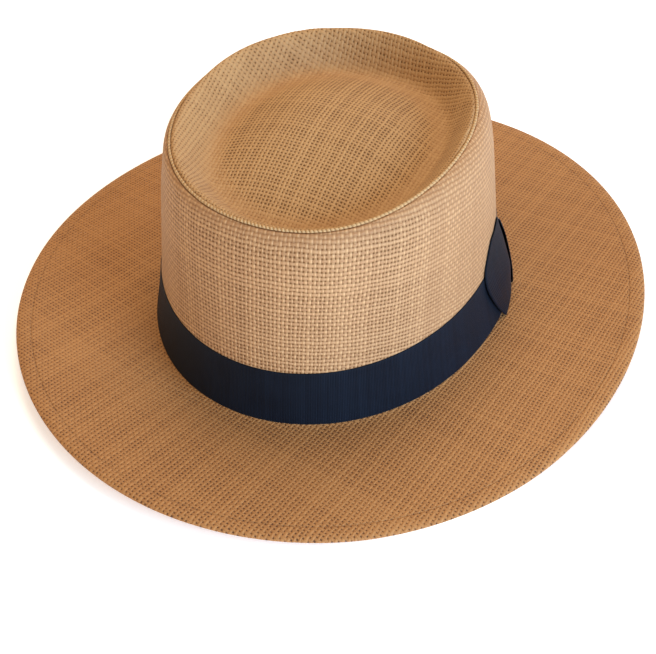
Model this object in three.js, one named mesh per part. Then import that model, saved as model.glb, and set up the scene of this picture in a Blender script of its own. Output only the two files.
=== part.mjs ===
/**
 * Wide-brim straw hat: a flat waved brim with a folded hem, a tapered crown with a
 * sunken, domed tip, a ribbon band round its foot and a flat bow on one side.
 *
 * Millimetres, +Z up. The front of the hat faces -Y and the wearer's left, where the
 * bow sits, is +X. The origin is on the surface that the hat rests on, under the
 * middle of the brim. Angles round the hat start at +X and grow towards the back.
 *
 * All straw pieces follow one family of ovals: the oval of mean radius r reaches
 * r - OVALNESS to each side and r + OVALNESS to the front and the back.
 */
import * as THREE from "three";

// Steps and clearances
const SIDES = 72;
const GAP = 0.3;

// Materials' thickness
const STRAW = 1.5;
const RIBBON = 1.0;

// Mean radii of the main ovals, and how far those are from round
const EDGE_RADIUS = 164.9;
const BASE_RADIUS = 94.1;
const TROUGH_RADIUS = 63.3;
const OVALNESS = 8.4;

// Heights: the top of the brim where the crown stands on it, and the crest above that
const BRIM_LEVEL = 9.0;
const CREST_HEIGHT = 101.5;
const COLLAR_HEIGHT = 7.0;

// The crown leans a little out of the middle of the brim by the time it is at its crest
const CREST_LEAN = { x: 3.2, y: 2.7 };
const SHOULDER_HEIGHT = 96.0;
const RIM_RADIUS = 77.0;

// Waves of the brim's edge and of the crest: rise in mm, highest at these degrees.
// The bulges are waves of the crown's radius.
const EDGE_WAVES = [
  { lobes: 0, rise: -2.7, at: 0 },
  { lobes: 2, rise: 4.5, at: 30 },
  { lobes: 4, rise: 0.5, at: 0 },
];
const EDGE_SWEEP = 1.3;
const CREST_WAVES = [
  { lobes: 1, rise: 1.84, at: -72 },
  { lobes: 2, rise: 2.5, at: -5 },
];
const CROWN_BULGES = [
  { lobes: 3, rise: 0.54, at: -30 },
  { lobes: 4, rise: 1.0, at: 28 },
];

// Brim: share of the way out from the crown, and the depths of its upper and lower
// faces under the brim's smooth surface. The last tenth is the hem, folded under.
const BRIM_SECTION = [
  { out: 1.0, over: 0.8, under: 1.7 },
  { out: 0.99, over: 0.1, under: 2.4 },
  { out: 0.944, over: 0, under: 2.4 },
  { out: 0.892, over: 0, under: 2.4 },
  { out: 0.884, over: 0, under: STRAW },
  { out: 0.7, over: 0, under: STRAW },
  { out: 0.45, over: 0, under: STRAW },
  { out: 0.2, over: 0, under: STRAW },
  { out: 0.03, over: 0, under: STRAW },
];

// Crown side: height above the brim, and how far it has come in from its foot
const SIDE_SECTION = [
  { height: 0.3, inward: 0 },
  { height: 8, inward: 1.2 },
  { height: 16, inward: 2.3 },
  { height: 30, inward: 3.9 },
  { height: 50, inward: 5.1 },
  { height: 70, inward: 6.1 },
  { height: 82, inward: 7.1 },
  { height: 90, inward: 8.3 },
  { height: 95, inward: 9.7 },
  { height: 98.5, inward: 11.75 },
  { height: 100.4, inward: 14.65 },
];

// Crown tip: the raised seam along the crest, then the wall down to the trough and
// the dome inside it. Drop is the depth under the crest.
const SEAM_RIDGE = [
  { radius: 79.2, drop: 0.94 },
  { radius: 78.95, drop: 0.1 },
  { radius: 78.25, drop: -0.3 },
];
const TIP_SECTION = [
  { radius: 77.3, drop: 0.1 },
  { radius: 74.8, drop: 1.7 },
  { radius: 71.3, drop: 5.4 },
  { radius: 67.8, drop: 9.6 },
  { radius: 65.3, drop: 12.0 },
  { radius: 62.6, drop: 12.8 },
  { radius: 57, drop: 11.9 },
  { radius: 47, drop: 9.4 },
  { radius: 34, drop: 6.7 },
  { radius: 18, drop: 4.7 },
];
const TIP_CENTRE_DROP = 4.2;
const TIP_SEAM_FOOT = { radius: 78.38, drop: 2.19 };

// Band: the heights of its edges and fold lines above the brim. Its top edge rises and
// falls by these waves, and its foot stands away from the crown behind the bow.
const BAND_HEIGHTS = [0.4, 8, 16, 28.8];
const BAND_TOP = 28.8;
const BAND_RISE = [
  { lobes: 0, rise: 0.8, at: 0 },
  { lobes: 1, rise: 1.1, at: 0 },
  { lobes: 2, rise: 1.2, at: 0 },
];
const BAND_FLARE = { distance: 2.6, at: 5, width: 18 };

// Bow: the angles between which the knot lies, and the radius of the arc along it
const KNOT_FRONT = 9.5;
const KNOT_REAR = 22.0;
const BOW_ARC_RADIUS = 99.5;
const BOW_MIDDLE = 14.8;

// A loop is a ribbon folded back on itself. From the knot out to the fold: the share
// of the loop's swelling, how far its edges are drawn in towards its middle, and which
// way its hollow closes there. The rear loop is gathered more tightly than the front one.
const FRONT_GATHER = 1.0;
const REAR_GATHER = 3.0;
const LOOP_SECTION = [
  { along: 0, swelling: 0.5, pinch: 0.2, closing: 1 },
  { along: 0.12, swelling: 0.8, pinch: 0.13, closing: 0 },
  { along: 0.25, swelling: 1.0, pinch: 0.02, closing: 0 },
  { along: 0.5, swelling: 0.85, pinch: 0, closing: 0 },
  { along: 0.8, swelling: 0.5, pinch: 0, closing: 0 },
  { along: 0.95, swelling: 0.22, pinch: 0, closing: -1 },
];

// Up each loop: its reach from the knot, the swelling between its two layers, and the
// distance its fold stands away from the band. The front loop rises above the band.
const FRONT_LOOP = [
  { height: 0.6, reach: 24.5, swelling: 0.3, flare: 1.3 },
  { height: 8, reach: 29.6, swelling: 1.7, flare: 0.7 },
  { height: 16, reach: 34.8, swelling: 2.5, flare: 0.4 },
  { height: 24, reach: 37.9, swelling: 2.1, flare: 0 },
  { height: 31, reach: 37.5, swelling: 1.1, flare: 0 },
  { height: 36.5, reach: 32, swelling: 0.3, flare: 0 },
  { height: 41, reach: 24.5, swelling: 0, flare: 0 },
];
const REAR_LOOP = [
  { height: 0.6, reach: 26, swelling: 1.3, flare: 1.2 },
  { height: 8, reach: 28.5, swelling: 1.1, flare: 0.6 },
  { height: 16, reach: 30.5, swelling: 0.5, flare: 0.2 },
  { height: 22.5, reach: 31.3, swelling: 0.1, flare: 0 },
  { height: 29, reach: 31.0, swelling: 0, flare: 0 },
];

// Knot: a ribbon sleeve that is drawn tight to the band at its top. From the bottom up:
// how far it stands off at its front and rear edges, and the height of its hollow there.
// Its heights shrink by this share towards its rear edge.
const KNOT_STEPS = 3;
const KNOT_SLANT = 0.25;
const KNOT_SECTION = [
  { height: 0.5, hollow: 1.5, front: 2.8, rear: 3.4 },
  { height: 8, hollow: 5, front: 3.9, rear: 3.3 },
  { height: 16, hollow: 9, front: 4.2, rear: 3.0 },
  { height: 24, hollow: 13, front: 3.0, rear: 2.4 },
  { height: 30, hollow: 16, front: 1.7, rear: 1.7 },
  { height: 36, hollow: 18, front: 1.3, rear: 1.3 },
];

// Colours
const CROWN_STRAW = { color: 0xcfa26c, roughness: 0.85, metalness: 0 };
const BRIM_STRAW = { color: 0xb88350, roughness: 0.85, metalness: 0 };
const NAVY_RIBBON = { color: 0x151b29, roughness: 0.7, metalness: 0 };

/** Sum of the waves of a table at one angle round the hat. */
function waves(rows, turn) {
  let rise = 0;
  for (const row of rows) {
    rise += row.rise * Math.cos(row.lobes * (turn - THREE.MathUtils.degToRad(row.at)));
  }
  return rise;
}

/** Point on the oval of a mean radius, at one angle and height. */
function ovalPoint(turn, radius, z) {
  const oval = OVALNESS * Math.min(1, radius / TROUGH_RADIUS);
  return new THREE.Vector3((radius - oval) * Math.cos(turn), (radius + oval) * Math.sin(turn), z);
}

/** Point on the crown's side, which leans and waves more the higher it is. */
function crownPoint(turn, radius, height) {
  const lean = Math.min(1, height / SHOULDER_HEIGHT);
  const share = lean ** 2;
  const bulged = radius + share * waves(CROWN_BULGES, turn);
  const point = ovalPoint(turn, bulged, BRIM_LEVEL + height + share * waves(CREST_WAVES, turn));
  point.x += CREST_LEAN.x * lean;
  point.y += CREST_LEAN.y * lean;
  return point;
}

/** Point on the crown's tip, whose waves die out towards its middle. */
function tipPoint(turn, radius, drop) {
  const share = Math.min(1, radius / RIM_RADIUS);
  const z = BRIM_LEVEL + CREST_HEIGHT - drop + share * waves(CREST_WAVES, turn);
  const point = ovalPoint(turn, radius + share * waves(CROWN_BULGES, turn), z);
  point.x += CREST_LEAN.x;
  point.y += CREST_LEAN.y;
  return point;
}

/** Value in one column of a table at a height between its rows. */
function valueAt(rows, height, column) {
  const last = Math.max(1, rows.findIndex((row) => row.height >= height));
  const low = rows[last - 1];
  const high = rows[last];
  const share = (height - low.height) / (high.height - low.height);
  return THREE.MathUtils.lerp(low[column], high[column], share);
}

/** Mean radius of the crown side's outer face at a height. */
function sideRadius(height) {
  return BASE_RADIUS - valueAt(SIDE_SECTION, height, "inward");
}

/** A path moved sideways, to its left, by a distance. */
function parallelPath(path, distance) {
  return path.map((point, i) => {
    const before = path[Math.max(0, i - 1)];
    const after = path[Math.min(path.length - 1, i + 1)];
    const along = new THREE.Vector2().subVectors(after, before).normalize();
    return new THREE.Vector2(point.x - along.y * distance, point.y + along.x * distance);
  });
}

/** Solid from shared points and triangles, turned so that its faces point out. */
function solid(points, triangles) {
  let volume = 0;
  for (const [a, b, c] of triangles) {
    volume += points[a].dot(new THREE.Vector3().crossVectors(points[b], points[c]));
  }
  const facing = volume > 0 ? triangles : triangles.map(([a, b, c]) => [a, c, b]);
  const geometry = new THREE.BufferGeometry().setFromPoints(points);
  geometry.setIndex(facing.flat());
  geometry.computeVertexNormals();
  return geometry;
}

/** Two triangles between neighbouring columns of a grid of points. */
function quad(left, right, low, high) {
  return [
    [left + low, right + low, right + high],
    [left + low, right + high, left + high],
  ];
}

/** Ring: a closed row of columns, each column a closed section. */
function closedShell(columns) {
  const size = columns[0].length;
  const triangles = [];
  for (let i = 0; i < columns.length; i += 1) {
    const next = (i + 1) % columns.length;
    for (let j = 0; j < size; j += 1) {
      triangles.push(...quad(i * size, next * size, j, (j + 1) % size));
    }
  }
  return solid(columns.flat(), triangles);
}

/** Disc: a closed row of open columns, from one shared end point to the other. */
function cappedShell(columns, start, end) {
  const size = columns[0].length;
  const startIndex = columns.length * size;
  const triangles = [];
  for (let i = 0; i < columns.length; i += 1) {
    const left = i * size;
    const right = ((i + 1) % columns.length) * size;
    triangles.push([startIndex, right, left]);
    for (let j = 0; j < size - 1; j += 1) {
      triangles.push(...quad(left, right, j, j + 1));
    }
    triangles.push([left + size - 1, right + size - 1, startIndex + 1]);
  }
  return solid([...columns.flat(), start, end], triangles);
}

/** One column of points for each step round the hat. */
function columnsRound(makeColumn) {
  return Array.from({ length: SIDES }, (_, i) => makeColumn((i * 2 * Math.PI) / SIDES - Math.PI));
}

/** Brim: waved sheet with a hem, turned up inside the crown as a sewing collar. */
function brimGeometry() {
  const collar = BASE_RADIUS - STRAW - GAP;
  const bend = STRAW / 2;
  const collarTop = sideRadius(COLLAR_HEIGHT) - STRAW - GAP;
  return closedShell(
    columnsRound((turn) => {
      const edge = waves(EDGE_WAVES, turn);
      const face = (row, depth) => {
        const radius = THREE.MathUtils.lerp(BASE_RADIUS, EDGE_RADIUS, row.out);
        const z = BRIM_LEVEL + edge * row.out ** EDGE_SWEEP - depth;
        return ovalPoint(turn, radius, Math.max(0, z));
      };
      const upper = BRIM_SECTION.map((row) => face(row, row.over));
      const lower = BRIM_SECTION.map((row) => face(row, row.under)).reverse();
      const turnedUp = [
        crownPoint(turn, collar, 0),
        crownPoint(turn, collarTop, COLLAR_HEIGHT),
        crownPoint(turn, collarTop - STRAW, COLLAR_HEIGHT),
        ovalPoint(turn, collar - STRAW, BRIM_LEVEL - bend),
        ovalPoint(turn, collar - bend, BRIM_LEVEL - STRAW),
      ];
      return [...upper, ...turnedUp, ...lower];
    }),
  );
}

/** Crown side: tapered wall with a rounded shoulder, open at both ends. */
function crownSideGeometry() {
  const outer = SIDE_SECTION.map((row) => new THREE.Vector2(BASE_RADIUS - row.inward, row.height));
  const inner = parallelPath(outer, STRAW);
  inner[0].y = outer[0].y;
  const section = [...outer, ...inner.reverse()];
  return closedShell(
    columnsRound((turn) => section.map((point) => crownPoint(turn, point.x, point.y))),
  );
}

/** Crown tip: seam ridge, wall down to the trough, and the dome in the middle. */
function crownTipGeometry() {
  const path = [...SEAM_RIDGE, ...TIP_SECTION].map((row) => new THREE.Vector2(row.radius, -row.drop));
  const under = parallelPath(path, STRAW).slice(SEAM_RIDGE.length + 1);
  const foot = new THREE.Vector2(TIP_SEAM_FOOT.radius, -TIP_SEAM_FOOT.drop);
  const section = [...under.reverse(), foot, ...path];
  return cappedShell(
    columnsRound((turn) => section.map((point) => tipPoint(turn, point.x, -point.y))),
    tipPoint(0, 0, TIP_CENTRE_DROP + STRAW),
    tipPoint(0, 0, TIP_CENTRE_DROP),
  );
}

/** Point on a ribbon that stands off the crown's side by a distance. */
function ribbonPoint(turn, height, stand) {
  const share = Math.min(1, height / BAND_TOP);
  const level = height + waves(BAND_RISE, turn) * share;
  const away = (THREE.MathUtils.radToDeg(turn) - BAND_FLARE.at) / BAND_FLARE.width;
  const flare = BAND_FLARE.distance * Math.exp(-(away ** 2)) * (1 - share) ** 2;
  return crownPoint(turn, sideRadius(level) + GAP + stand + flare, level);
}

/** Band: flat ribbon round the foot of the crown. */
function bandGeometry() {
  return closedShell(
    columnsRound((turn) => [
      ...BAND_HEIGHTS.map((height) => ribbonPoint(turn, height, RIBBON)),
      ...BAND_HEIGHTS.map((height) => ribbonPoint(turn, height, 0)).reverse(),
    ]),
  );
}

/** Point on the bow: along the band from an angle, up it, and out from its face. */
function bowPoint(from, along, height, stand) {
  const turn = THREE.MathUtils.degToRad(from) + along / BOW_ARC_RADIUS;
  return ribbonPoint(turn, height, RIBBON + stand);
}

/** One loop of the bow, open at its upper and lower edges; way is -1 to the front. */
function loopGeometry(from, way, gather, levels) {
  const layers = (row, level) => {
    const inner = GAP + level.flare * row.along ** 2;
    const outer = inner + 2 * RIBBON + GAP + level.swelling * row.swelling;
    return { inner, outer };
  };
  const skin = (row, level, side, inset) => {
    const stand = layers(row, level)[side] + (side === "outer" ? -inset : inset);
    const height = THREE.MathUtils.lerp(level.height, BOW_MIDDLE, gather * row.pinch);
    const along = GAP + row.along * level.reach + row.closing * inset;
    return bowPoint(from, way * along, height, stand);
  };
  const fold = (level, inset) => {
    const { inner, outer } = layers(LOOP_SECTION.at(-1), level);
    const along = GAP + level.reach - inset;
    return bowPoint(from, way * along, level.height, (inner + outer) / 2);
  };
  const column = (row, side) => [
    ...levels.map((level) => skin(row, level, side, 0)),
    ...levels.map((level) => skin(row, level, side, RIBBON)).reverse(),
  ];
  const foldColumn = [
    ...levels.map((level) => fold(level, 0)),
    ...levels.map((level) => fold(level, RIBBON + GAP)).reverse(),
  ];
  return closedShell([
    ...LOOP_SECTION.map((row) => column(row, "inner")),
    foldColumn,
    ...LOOP_SECTION.map((row) => column(row, "outer")).reverse(),
  ]);
}

/** Knot: closed ribbon sleeve round the middle of the bow. */
function knotGeometry() {
  const length = THREE.MathUtils.degToRad(KNOT_REAR - KNOT_FRONT) * BOW_ARC_RADIUS;
  const shares = Array.from({ length: KNOT_STEPS + 1 }, (_, i) => i / KNOT_STEPS);
  const stand = (height, share) => {
    const front = valueAt(KNOT_SECTION, height, "front");
    return THREE.MathUtils.lerp(front, valueAt(KNOT_SECTION, height, "rear"), share);
  };
  const point = (share, height, distance) =>
    bowPoint(KNOT_FRONT, share * length, height * (1 - KNOT_SLANT * share), distance);
  const column = (height, hollow, outer) => {
    const skin = (share) => (outer ? stand(height, share) : GAP);
    const lining = (share) => (outer ? stand(hollow, share) - RIBBON : GAP + RIBBON);
    return [
      ...shares.map((share) => point(share, height, skin(share))),
      ...shares.map((share) => point(share, hollow, lining(share))).reverse(),
    ];
  };
  return closedShell([
    ...KNOT_SECTION.map((row) => column(row.height, row.hollow, true)),
    ...KNOT_SECTION.map((row) => column(row.height, row.hollow, false)).reverse(),
  ]);
}

/** A named sub-part with its own finish. */
function piece(name, geometry, finish) {
  const mesh = new THREE.Mesh(geometry, new THREE.MeshStandardMaterial(finish));
  mesh.name = name;
  return mesh;
}

const hat = new THREE.Group();
hat.name = "straw_hat";
hat.add(
  piece("brim", brimGeometry(), BRIM_STRAW),
  piece("crown_side", crownSideGeometry(), CROWN_STRAW),
  piece("crown_tip", crownTipGeometry(), CROWN_STRAW),
  piece("hat_band", bandGeometry(), NAVY_RIBBON),
  piece("bow_front_loop", loopGeometry(KNOT_FRONT, -1, FRONT_GATHER, FRONT_LOOP), NAVY_RIBBON),
  piece("bow_rear_loop", loopGeometry(KNOT_REAR, 1, REAR_GATHER, REAR_LOOP), NAVY_RIBBON),
  piece("bow_knot", knotGeometry(), NAVY_RIBBON),
);

export default hat;
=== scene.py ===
"""Wide-brim straw sun hat, dressed over its CAD frame.

Metres, +Z up. The front of the hat faces -Y, and the wearer's left, where the bow
sits, is +X. Angles round the hat start at +X and grow towards the back.

The straw pieces and the band start as a section, a short chain of radii and heights.
It is spun into a round shell and then pressed onto the hat's ovals and waves. The bow's
ribbons start as flat strips that are laid round the crown.
"""
import math

import bmesh
import bpy
from mathutils import Matrix, Vector


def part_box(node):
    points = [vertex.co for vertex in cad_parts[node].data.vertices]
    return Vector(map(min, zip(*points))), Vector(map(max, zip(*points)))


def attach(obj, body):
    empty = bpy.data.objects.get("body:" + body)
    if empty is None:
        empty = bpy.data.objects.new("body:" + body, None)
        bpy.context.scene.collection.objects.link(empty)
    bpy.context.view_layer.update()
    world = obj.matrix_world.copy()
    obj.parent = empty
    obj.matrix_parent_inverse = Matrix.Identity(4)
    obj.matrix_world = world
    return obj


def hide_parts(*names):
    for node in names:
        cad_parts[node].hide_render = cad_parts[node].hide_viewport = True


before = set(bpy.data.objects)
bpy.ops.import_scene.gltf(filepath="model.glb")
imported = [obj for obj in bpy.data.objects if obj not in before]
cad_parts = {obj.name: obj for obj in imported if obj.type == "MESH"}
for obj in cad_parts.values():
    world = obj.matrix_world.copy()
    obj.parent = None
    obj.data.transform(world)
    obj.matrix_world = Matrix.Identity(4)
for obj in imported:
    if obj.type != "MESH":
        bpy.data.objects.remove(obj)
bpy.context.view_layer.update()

bl_info = {
    "name": "Straw Sun Hat",
    "version": (1, 0, 0),
    "blender": (4, 5, 0),
    "location": "View3D > Sidebar > Hat",
    "description": "Builds a woven straw sun hat with a ribbon band and a flat side bow",
    "category": "Add Mesh",
}

BRIM_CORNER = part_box("brim")[1]
SIDE_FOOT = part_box("crown_side")[0].z

# Clearance between neighbouring pieces
GAP = 0.0003

# Mean radii of the main ovals, and how far those are from round
EDGE_RADIUS = (BRIM_CORNER.x + BRIM_CORNER.y) / 2
OVALNESS = (BRIM_CORNER.y - BRIM_CORNER.x) / 2
BASE_RADIUS = 0.0941
TROUGH_RADIUS = 0.0633

# Heights: the top of the brim where the crown stands on it, and the rest above that. The
# lean grows up to the shoulder, and the seam's pull from SHOULDER_LOW to SEAM_LOW.
BRIM_LEVEL = SIDE_FOOT - GAP
CREST_HEIGHT = 0.1015
COLLAR_HEIGHT = 0.007
COLLAR_ROUNDING = 0.96
SHOULDER_HEIGHT = 0.096
SHOULDER_LOW = 0.093
SEAM_LOW = 0.1002
RIM_RADIUS = 0.077
CREST_LEAN = (0.0032, 0.0027)

# Waves round the hat: number of lobes, rise, and the degrees at which they are highest
EDGE_WAVES = ((0, -0.0027, 0), (2, 0.0045, 30), (4, 0.0005, 0))
EDGE_SWEEP = 1.3
CREST_WAVES = ((1, 0.00184, -72), (2, 0.0025, -5))
CROWN_BULGES = ((3, 0.00054, -30), (4, 0.001, 28))

# Brim section: share of the way out from the crown, and depth under the top surface.
# The outer part is the hem, where the straw is folded under.
BRIM_TOP = (
    *((out, 0.0) for out in (0.02, 0.2, 0.4, 0.6, 0.8, 0.885, 0.93)),
    (0.95, 0.0001),
    (0.968, 0.0003),
    (0.983, 0.0006),
    (0.994, 0.0010),
    (1.0, 0.0016),
)
BRIM_UNDER = (
    (0.998, 0.0022),
    (0.988, 0.0024),
    (0.96, 0.0024),
    (0.9, 0.0024),
    (0.892, 0.0023),
    *((out, 0.0015) for out in (0.888, 0.87, 0.7, 0.45, 0.2, 0.03)),
)

# Crown side: height above the brim, and how far it has come in from its foot
SIDE_SECTION = (
    (0.0003, 0.0),
    (0.008, 0.0012),
    (0.016, 0.0023),
    (0.030, 0.0037),
    (0.050, 0.0050),
    (0.070, 0.0061),
    (0.082, 0.0071),
    (0.090, 0.0083),
    (0.095, 0.0097),
    (0.0986, 0.0118),
    (0.1001, 0.0136),
    (0.1006, 0.0145),
    (0.1009, 0.0154),
)

# Crown tip: radius, and depth under the crest
TIP_SECTION = (
    (0.0785, 0.0016),
    (0.0781, 0.0011),
    (0.0772, 0.0006),
    (0.0750, 0.0016),
    (0.0713, 0.0050),
    (0.0678, 0.0093),
    (0.0653, 0.0118),
    (0.0626, 0.0128),
    (0.0570, 0.0119),
    (0.0470, 0.0094),
    (0.0340, 0.0067),
    (0.0180, 0.0047),
    (0.0, 0.0042),
)

# The trough is deeper at the back: how much, and its share at each radius
TROUGH_DIP = ((0, 0.0019, 0), (1, 0.0021, 104))
TROUGH_SHARE = (
    (0.0, 0.0),
    (0.03, 0.1),
    (0.05, 0.7),
    (0.0585, 1.0),
    (0.066, 0.9),
    (0.072, 0.4),
    (0.077, 0.0),
    (0.08, 0.0),
)

# Seam along the crest: a narrow sewn ridge, nearer the edge on the wearer's right. The
# straw rolls up to ROLL_RADIUS and falls ROLL_SINK times as far from there to the ridge.
SEAM_RADIUS = 0.0787
SEAM_SHIFT = ((0, 0.0008, 0), (1, 0.0016, 180), (2, 0.0008, 0))
SEAM_RISE = 0.0003
CREST_ROLL = ((0, 0.0012, 0), (1, 0.0014, 118), (4, 0.00055, 74), (5, 0.00055, 74))
ROLL_RADIUS = 0.077
ROLL_SINK = 1.6
SEAM_THICKNESS = 0.0015
SEAM_SWELL = ((0, 1.0, 0), (1, 0.06, -20), (23, 0.06, 0), (41, 0.05, 40), (67, 0.05, 80))
STITCH_LENGTH = 0.0021
STITCH_SWELL = 0.2
STITCH_SLANT = 0.35

# Band and bow: heights above the brim, and angles in degrees
BAND_LOW = 0.0004
BAND_HIGH = 0.0288
BAND_RISE = ((0, 0.0008, 0), (1, 0.0011, 0), (2, 0.0012, 0))
BAND_BELLY = 0.0001
BAND_FLARE = 0.0026
BAND_FLARE_AT = math.radians(5)
BAND_FLARE_WIDTH = math.radians(18)
KNOT_FRONT = 9.5
KNOT_REAR = 22.0

# Bow: the radius that its lengths are bent to, the height that the knot gathers it at and
# how strongly, how far each loop reaches under the knot, and how soon it clears it
BOW_ARC_RADIUS = 0.0995
BOW_MIDDLE = 0.0148
FRONT_GATHER = 1.0
REAR_GATHER = 3.0
BOW_TUCK = 0.002
BOW_DIP = 0.0035

# From the knot out to the fold: share of the swelling between the loop's two layers,
# and how far its edges are drawn in towards its middle
LOOP_SECTION = (
    (0.0, 0.45, 0.24),
    (0.1, 0.8, 0.14),
    (0.22, 1.0, 0.04),
    (0.45, 0.85, 0.0),
    (0.75, 0.5, 0.0),
    (0.95, 0.22, 0.0),
    (1.0, 0.2, 0.0),
)

# Up each loop: height, reach from the knot, swelling, and how far the fold stands off
FRONT_LOOP = (
    (0.0006, 0.0245, 0.0007, 0.0018),
    (0.0042, 0.0270, 0.0016, 0.0012),
    (0.0140, 0.0336, 0.0037, 0.0010),
    (0.0206, 0.0370, 0.0034, 0.0006),
    (0.0262, 0.0383, 0.0027, 0.0001),
    (0.0308, 0.0376, 0.0019, 0.0),
    (0.0350, 0.0335, 0.0010, 0.0),
    (0.0385, 0.0295, 0.0003, 0.0),
    (0.0414, 0.0240, 0.0, 0.0),
)
REAR_LOOP = (
    (0.0006, 0.026, 0.0028, 0.0008),
    (0.008, 0.0285, 0.0015, 0.0003),
    (0.016, 0.0305, 0.0003, 0.0),
    (0.0225, 0.0313, 0.0, 0.0),
    (0.029, 0.031, 0.0, 0.0),
)

# Up the knot: height, and how far it stands off at its front and at its rear edge, which
# is shorter by KNOT_SLANT. Over ABOVE_BAND the bow sinks from the band to the straw.
KNOT_SECTION = (
    (0.0005, 0.0022, 0.0026),
    (0.008, 0.0039, 0.0029),
    (0.016, 0.0045, 0.0025),
    (0.024, 0.0040, 0.0018),
    (0.030, 0.0029, 0.0012),
    (0.036, 0.0014, 0.0006),
)
KNOT_SLANT = 0.42
ABOVE_BAND = 0.004

# Weave seen from above, a row for the warps and one for the wefts: the degrees that they
# run square to, how quickly they fan out, in radians a metre, and the distance between them
BRIM_WEAVE = ((-26, 1.22, 0.00195), (65, 1.05, 0.00185))
TIP_WEAVE = ((-9, -1.0, 0.00205), (71, -4.5, 0.0022))

# Weave of the crown's side: the warps in it, how far the wefts tilt and the warps bunch
# together, and the distance between wefts, which grows on the way up by SIDE_LOOSENING
SIDE_WARPS = 288
SIDE_TILT = 0.17
SIDE_TILT_AT = math.radians(95)
SIDE_BUNCHING = 0.13
SIDE_BUNCHED_AT = math.radians(14)
SIDE_RADIUS = 0.0885
SIDE_PITCH = 0.00183
SIDE_LOOSENING = 2.1

# Every thread's number is above 0
WEAVE_START = 1000.0
RIBBON_START = 2.0

# Threads: half widths in pitches, what a weft gains where the straw is tight, and a warp's
# share of that, the painted light that makes a warp on top lighter than a weft, and the
# painted shade between wefts
BRIM_THREAD = {"warp": 0.385, "weft": 0.385, "warp_painted_light": 0.15, "painted_row_shade": 0.0}
SIDE_THREAD = {"warp": 0.36, "weft": 0.37, "gain": 0.2, "warp_painted_light": 0.5, "painted_row_shade": 0.55}
TIP_THREAD = {"warp": 0.315, "weft": 0.32, "gain": 0.2, "warp_painted_light": 0.15, "painted_row_shade": 0.0}
WARP_GAIN = 0.5

# How far threads wander, in pitches, at a coarse and at a fine scale, how much finer both
# scales are for wefts, and how much the threads' widths differ
THREAD_WANDER = ((0.9, 28.0), (0.5, 170.0))
WEFT_SCALE = 1.3
THREAD_UNEVENNESS = 0.14

# Where the straw is tight: on the side by the distance out from the hat's middle plane
# and down from the crest, and on the tip by the way in from its rim, from start to end.
# TIGHT_RIM is how tight the rim itself is, and at the back the end is further in.
TIGHT_SIDES = (0.05, 0.075)
TIGHT_CREST = (0.002, 0.0105)
TIGHT_START = (0.014, 0.019)
TIGHT_END = (0.023, 0.031)
TIGHT_RIM = 0.55
TIGHT_BACK = (0.0, 0.06)
TIGHT_FURTHER = 0.006
TIGHT_SHADE = 1.2

# Straw: height of a thread that passes under, what passing over adds, and how far up a
# thread its edge reaches
THREAD_UNDER = 0.3
THREAD_OVER = 0.65
THREAD_EDGE = 0.35
THREAD_RELIEF = 0.0004
FIBRE_SCALE = 2500.0

# Tone of the straw: its start, what the painted light and shade of a thread's height, chance
# and large patches add to it, and how far the painted shade between wefts uncovers the gaps
TONE_START = 0.1
PAINTED_RELIEF_SHADING = 0.5
TONE_CHANCE = 0.35
TONE_PATCHES = 0.5
PATCH_SCALE = 35.0
SHADE_OPENS = 0.6

STRAW_ROUGHNESS = 0.75
STRAW_SMOOTHING = 0.2
STRAW_GLOSS = {
    "Specular IOR Level": 0.4,
    "Sheen Weight": 0.05,
    "Sheen Roughness": 0.5,
    "Sheen Tint": (0.85, 0.93, 1.0, 1.0),
}

# Sewing lines: distance from the edge they follow, how dark they are, and how much darker
# the painted shade of the groove beside the crest's seam makes them, which grows between
# the lengths of the shaded groove below, from +X round the front
HEM_SEWING = {"distance": 0.0077, "dark": 0.1, "groove_shade_dark": 0.0}
# The crest's line is sewn, and its darkness is partly the stitches and partly painted shade in the
# groove beside the seam
CREST_SEWING = {"distance": 0.0009, "dark": 0.2, "groove_shade_dark": 0.65}
SEWING_WIDTH = 0.0006
SEWING_PITCH = 0.0034
SEWING_STITCH = (-0.2, 0.4)
SEWING_STITCH_DARK = 0.25
SEWING_DEPTH = 0.6
SHADED_GROOVE = (0.06, 0.14)

# Whipped seam: start of its tone, what the painted light on a stitch's bulge and chance add
# to it, how far up the bulge the painted shade between stitches reaches, and its relief and
# roughness
SEAM_TONE = 0.4
SEAM_BULGE_SHADING = 0.35
SEAM_TONE_CHANCE = 0.9
SEAM_GROOVE_SHADE_EDGE = (-0.2, 0.4)
SEAM_FIBRES = 0.3
SEAM_ROUGHNESS = 0.8
SEAM_SMOOTHING = 0.1

# Ribbon: its ribs, the threads across them, the selvedge along each edge, and what the
# painted light on the ribs, chance and wear add to its tone
RIBBON_WARPS = 34
RIBS_PER_METRE = 1250.0
RIB_RELIEF = 0.00015
PICK_RELIEF = 0.25
SELVEDGE = (0.47, 0.5)
SELVEDGE_DROP = 0.6
RIBBON_TONE = 0.15
RIB_SHADING = 0.45
RIBBON_TONE_CHANCE = 0.25
RIBBON_TONE_WEAR = 0.6
RIBBON_WEAR_SCALE = 60.0
RIBBON_WEAR_DETAIL = 3.0
RIBBON_ROUGHNESS = 0.62
RIBBON_SMOOTHING = 0.14
RIBBON_WEAR_ROUGHNESS = 0.1
RIBBON_GLOSS = {
    "Specular IOR Level": 0.1,
    "Sheen Weight": 0.03,
    "Sheen Roughness": 0.5,
    "Sheen Tint": (0.6, 0.75, 1.0, 1.0),
}

# Steps: round the seam's section, along each stitch, and along and across each ribbon
SEAM_SIDES = 8
STITCH_STEPS = 6
BAND_ROWS = 8
LOOP_COLUMNS = 40
LOOP_ROWS = 18
KNOT_COLUMNS = 24
KNOT_ROWS = 8
MERGE_DISTANCE = 1e-7

# Clearance of the ribbon, and the shares of its length that turn: of a loop on each side
# of its fold, and of the knot at each end
BAND_CLEAR = 0.0001
FOLD_SHARE = 0.04
KNOT_TURN = 0.08

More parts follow.
